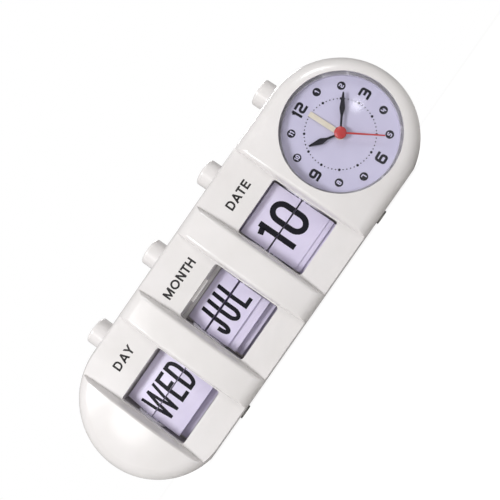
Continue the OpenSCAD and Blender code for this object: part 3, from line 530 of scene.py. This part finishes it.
def printCards(unit, look):
    pin = Vector(joints[unit + "_flap_fall"]["pos_m"])
    axle = Vector(joints[unit + "_roll_turn"]["pos_m"])
    step = joints[unit + "_roll_turn"]["range_deg"][1]
    turn = Matrix.Rotation(math.radians(step), 3, "X")
    lowerPin = axle + turn @ (pin - axle)
    nextPin = axle + turn.inverted() @ (pin - axle)
    face = Vector((look["aside"] * mm, -cardThick / 2 * mm, -look["tail"] * mm))
    hang = Vector((look["aside"] * mm, -cardThick / 2 * mm, look["tail"] * mm))
    tall = look["above"] + look["below"]
    for (word, letters), upper, lower in ((look["now"], "flap", "card"), (look["next"], "card", "flap")):
        whole = printedWord(unit + word, letters, tall, look["stroke"])
        shift(whole, Vector((0, 0, -look["below"] * mm)))
        top = cutAt(copyPiece(whole, unit + word + "Top"), 0, True)
        bottom = cutAt(whole, 0, False)
        bottom.name = unit + word + "Bottom"
        topPin = pin if upper == "flap" else nextPin
        shift(top, topPin + face)
        hingeAbout(top, topPin, -look["lean"] - (0 if upper == "flap" else step))
        bottomPin = lowerPin if lower == "card" else pin
        shift(bottom, bottomPin + hang)
        if lower == "flap":
            hingeAbout(bottom, bottomPin, -(180 + look["lean"]))
        finishPiece(top, "blackInk", unit + ("_top_flap" if upper == "flap" else "_roll"))
        finishPiece(bottom, "blackInk", unit + ("_top_flap" if lower == "flap" else "_roll"))


for unit, look in cardWords.items():
    printCards(unit, look)
print("flip cards printed")


# Print on the dial: plain figures at the quarters, pale figures in dark discs between, dotted minutes

dialPrint = {
    "turn": 3.3,  # degrees, the paper sits slightly turned to the left
    "quarters": {"radius": 22.1, "height": 5.5, "stroke": 1.25,
                 "figures": {12: (("1", 0, 1.7), ("2", 2.4, 4.3)), 3: (("3", 0, 4.4),), 6: (("6", 0, 4.5),),
                             9: (("9", 0, 4.5),)}},
    "discSides": 32,
    "discs": {"radius": 22.7, "across": 4.0, "thick": 0.03, "height": 2.3, "stroke": 0.45,
              "figures": {1: (("1", 0, 0.9),), 2: (("2", 0, 1.5),), 4: (("4", 0, 1.6),), 5: (("5", 0, 1.5),),
                          7: (("7", 0, 1.5),), 8: (("8", 0, 1.5),), 10: (("1", 0, 0.7), ("0", 1.05, 1.4)),
                          11: (("1", 0, 0.8), ("1", 1.2, 0.8))}},
    "minutes": {"radius": 16.7, "hourDot": 1.25, "minuteDot": 0.6},
}
clockCentre = Vector(joints["second_turn"]["pos_m"])
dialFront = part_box("dial")[0].y


def dialPoint(radius, hours):
    angle = math.radians(hours * 30 - dialPrint["turn"])
    return Vector((clockCentre.x + radius * mm * math.sin(angle), dialFront,
                   clockCentre.z + radius * mm * math.cos(angle)))


def printedDisc(name, across, centre, thick):
    bpy.ops.object.select_all(action="DESELECT")
    bpy.ops.mesh.primitive_circle_add(vertices=dialPrint["discSides"], radius=across / 2 * mm,
                                      fill_type="NGON", rotation=(math.radians(90), 0, 0))
    disc = bpy.context.object
    disc.name = name
    settle(disc)
    raiseInk(disc, thick)
    shift(disc, centre)
    return disc


def printedFigure(name, letters, look, centre):
    figure = printedWord(name, letters, look["height"], look["stroke"])
    shift(figure, Vector((0, 0, -look["height"] / 2 * mm)))
    figure.rotation_euler = (0, math.radians(-dialPrint["turn"]), 0)
    settle(figure)
    shift(figure, centre)
    return figure


quarters, discs, minutes = dialPrint["quarters"], dialPrint["discs"], dialPrint["minutes"]
dark = [printedFigure("hour" + str(hour), letters, quarters, dialPoint(quarters["radius"], hour))
        for hour, letters in quarters["figures"].items()]
dark += [printedDisc("disc" + str(hour), discs["across"], dialPoint(discs["radius"], hour), discs["thick"])
         for hour in discs["figures"]]
dark += [printedDisc("dot" + str(i), minutes["hourDot" if i % 5 == 0 else "minuteDot"],
                     dialPoint(minutes["radius"], i / 5), ink["thick"]) for i in range(60)]
finishPiece(joinPieces(dark, "dialFigures"), "blackInk", "case")
pale = [printedFigure("pale" + str(hour), letters, discs,
                      dialPoint(discs["radius"], hour) - Vector((0, discs["thick"] * mm, 0)))
        for hour, letters in discs["figures"].items()]
finishPiece(joinPieces(pale, "dialPaleFigures"), "paleInk", "case")
print("dial printed")


# Domed cap pressed over the second hand's arbor

secondCap = {"radius": 2.9, "height": 0.9, "segments": 48, "rings": 24}


def addSecondCap(look):
    bpy.ops.object.select_all(action="DESELECT")
    bpy.ops.mesh.primitive_uv_sphere_add(segments=look["segments"], ring_count=look["rings"],
                                         radius=look["radius"] * mm)
    cap = cutAt(bpy.context.object, 0, True)
    cap.name = "secondCap"
    cap.scale = (1, 1, look["height"] / look["radius"])
    cap.rotation_euler = (math.radians(90), 0, 0)
    settle(cap)
    shift(cap, Vector((clockCentre.x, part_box("second_hand")[0].y, clockCentre.z)))
    selectOnly(cap)
    bpy.ops.object.shade_smooth_by_angle(angle=smoothAngle)
    finishPiece(cap, "redLacquer", "second")


addSecondCap(secondCap)
print("cap on the second hand")


# Button springs: one coil wound as a screw of its round wire, and a copy on each stem
# in place of the model's spring, which is hidden

springLook = {"wire": 0.7, "turns": 5, "wireSides": 12, "turnSteps": 36}


def windSpring(look, across, tall):
    wire = look["wire"] * mm
    bpy.ops.object.select_all(action="DESELECT")
    bpy.ops.mesh.primitive_circle_add(vertices=look["wireSides"], radius=wire / 2,
                                      location=((across - wire) / 2, 0, wire / 2),
                                      rotation=(math.radians(90), 0, 0))
    coil = bpy.context.object
    settle(coil)
    turns = coil.modifiers.new("turns", "SCREW")
    turns.iterations = look["turns"]
    turns.screw_offset = (tall - wire) / look["turns"]
    turns.steps = turns.render_steps = look["turnSteps"]
    bpy.ops.object.modifier_apply(modifier=turns.name)
    bpy.ops.object.mode_set(mode="EDIT")
    bpy.ops.mesh.select_all(action="DESELECT")
    bpy.ops.mesh.select_non_manifold()  # the two open ends of the wire
    bpy.ops.mesh.fill_holes(sides=look["wireSides"])
    bpy.ops.mesh.select_all(action="SELECT")
    bpy.ops.mesh.normals_make_consistent(inside=False)
    bpy.ops.object.mode_set(mode="OBJECT")
    bpy.ops.object.shade_smooth_by_angle(angle=smoothAngle)
    return coil


def fitSpring(coil, unit):
    low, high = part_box(unit + "_spring")
    spring = copyPiece(coil, unit + "Coil")
    middle = (low + high) / 2
    shift(spring, Vector((middle.x, middle.y, low.z)))
    finishPiece(spring, "springWire", "case")
    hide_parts(unit + "_spring")
    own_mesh(spring)


springLow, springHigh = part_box("day_spring")
coil = windSpring(springLook, springHigh.x - springLow.x, springHigh.z - springLow.z)
for unit in ("day", "month", "date", "alarm"):
    fitSpring(coil, unit)
bpy.data.objects.remove(coil)
print("springs wound")


# Floor and light

studio = {
    # The camera sees this share of the floor as plain white
    "floor": {"size": 6.0, "tone": "#c9c8c6", "white": 1.2, "share": 0.78},
    "sky": {"tone": "#fbfaf8", "strength": 0.33, "white": 1.0},
    "aim": (0, 0, 0.04),
    "lamps": {
        "key": {"place": (-0.6, -1.1, 0.74), "size": 0.42, "power": 12.6},
        "dome": {"place": (-0.52, -0.88, 0.15), "size": 0.28, "power": 1.2},
        "fill": {"place": (0.72, -0.85, 0.72), "size": 0.35, "power": 2.8},
        "glint": {"place": (0.46, -1.0, 0.14), "size": 0.07, "power": 0.09},
        "back": {"place": (0.4, 1.0, 0.85), "size": 0.45, "power": 9.0},
    },
}


def addFloor(look):
    bpy.ops.object.select_all(action="DESELECT")
    bpy.ops.mesh.primitive_plane_add(size=look["size"])
    floor = bpy.context.object
    floor.name = "floor"
    material, tree = newMaterial("paleFloor")
    seen = addNode(tree, "ShaderNodeLightPath")
    matt = addNode(tree, "ShaderNodeBsdfDiffuse", {"Color": linear(look["tone"])})
    white = addNode(tree, "ShaderNodeEmission", {"Color": linear("#ffffff"), "Strength": look["white"]})
    shown = addNode(tree, "ShaderNodeMath", {0: seen.outputs["Is Camera Ray"], 1: look["share"]},
                    operation="MULTIPLY")
    both = addNode(tree, "ShaderNodeMixShader", {"Fac": shown.outputs[0]})
    tree.links.new(matt.outputs[0], both.inputs[1])
    tree.links.new(white.outputs[0], both.inputs[2])
    addNode(tree, "ShaderNodeOutputMaterial", {"Surface": both.outputs[0]})
    floor.data.materials.append(material)


def addSky(look):
    world = bpy.data.worlds.new("studio")
    bpy.context.scene.world = world
    world.use_nodes = True
    tree = world.node_tree
    tree.nodes.clear()
    seen = addNode(tree, "ShaderNodeLightPath")
    shown = addNode(tree, "ShaderNodeMath", {0: seen.outputs["Is Camera Ray"],
                                             1: seen.outputs["Is Transmission Ray"]}, operation="MAXIMUM")
    soft = addNode(tree, "ShaderNodeBackground", {"Color": linear(look["tone"]), "Strength": look["strength"]})
    white = addNode(tree, "ShaderNodeBackground", {"Color": linear("#ffffff"), "Strength": look["white"]})
    both = addNode(tree, "ShaderNodeMixShader", {"Fac": shown.outputs[0]})
    tree.links.new(soft.outputs[0], both.inputs[1])
    tree.links.new(white.outputs[0], both.inputs[2])
    addNode(tree, "ShaderNodeOutputWorld", {"Surface": both.outputs[0]})


def addLamp(name, lamp):
    aim = Vector(studio["aim"]) - Vector(lamp["place"])
    bpy.ops.object.light_add(type="AREA", location=lamp["place"],
                             rotation=aim.to_track_quat("-Z", "Y").to_euler())
    light = bpy.context.object
    light.name = name
    light.data.shape = "DISK"
    light.data.size = lamp["size"]
    light.data.energy = lamp["power"]


addFloor(studio["floor"])
addSky(studio["sky"])
for name, lamp in studio["lamps"].items():
    addLamp(name + "Lamp", lamp)
print("floor and lights set")
